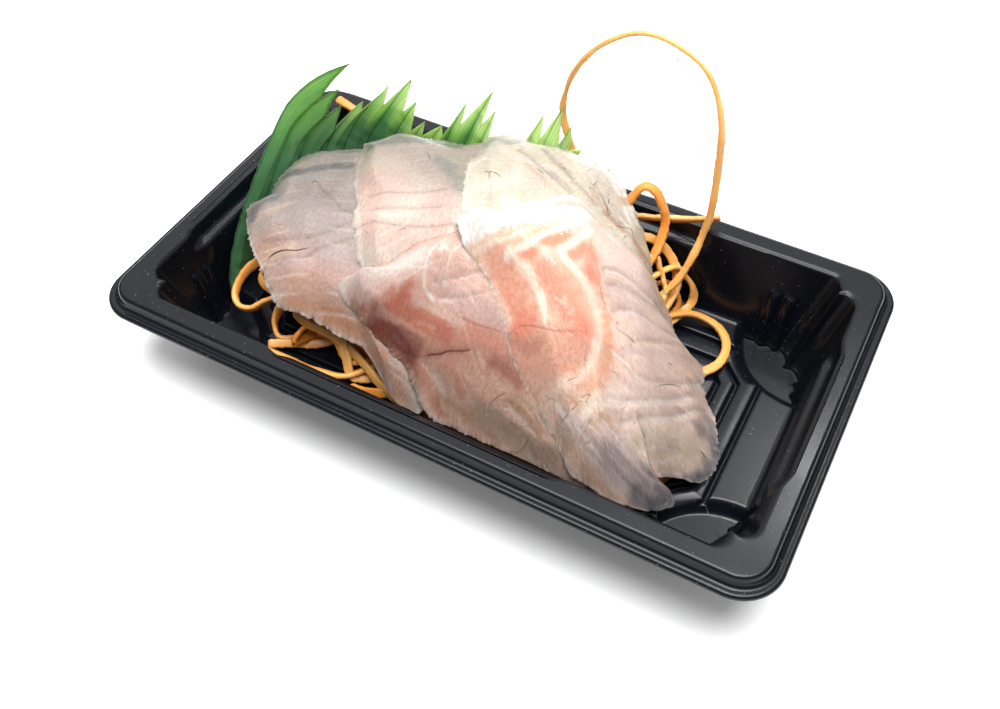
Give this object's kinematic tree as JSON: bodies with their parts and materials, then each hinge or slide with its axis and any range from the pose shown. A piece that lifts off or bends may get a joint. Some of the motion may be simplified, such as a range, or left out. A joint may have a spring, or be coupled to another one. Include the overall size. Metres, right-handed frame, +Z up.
{
  "type": "sashimi tray",
  "caption": "Black takeaway tray of overlapping raw white fish slices on a heap of carrot shreds, with a strip of green plastic grass along its back.",
  "frame": {"origin": "on the surface the tray stands on, under the middle of the tray", "axes": "+Z up, +X along the tray towards its empty end, +Y towards the side with the plastic grass"},
  "size_m": [0.168, 0.097, 0.0719],
  "materials": {
    "tray": "glossy",
    "fish": "moist",
    "carrot": "moist",
    "grass": "glossy"
  },
  "bodies": {
    "root": {"tray": "tray", "fish_slice_1": "fish", "fish_slice_2": "fish", "fish_slice_3": "fish", "fish_slice_4": "fish", "fish_slice_5": "fish", "carrot_heap": "carrot", "carrot_shred_corner": "carrot", "grass_strip": "grass"}
  },
  "joints": []
}
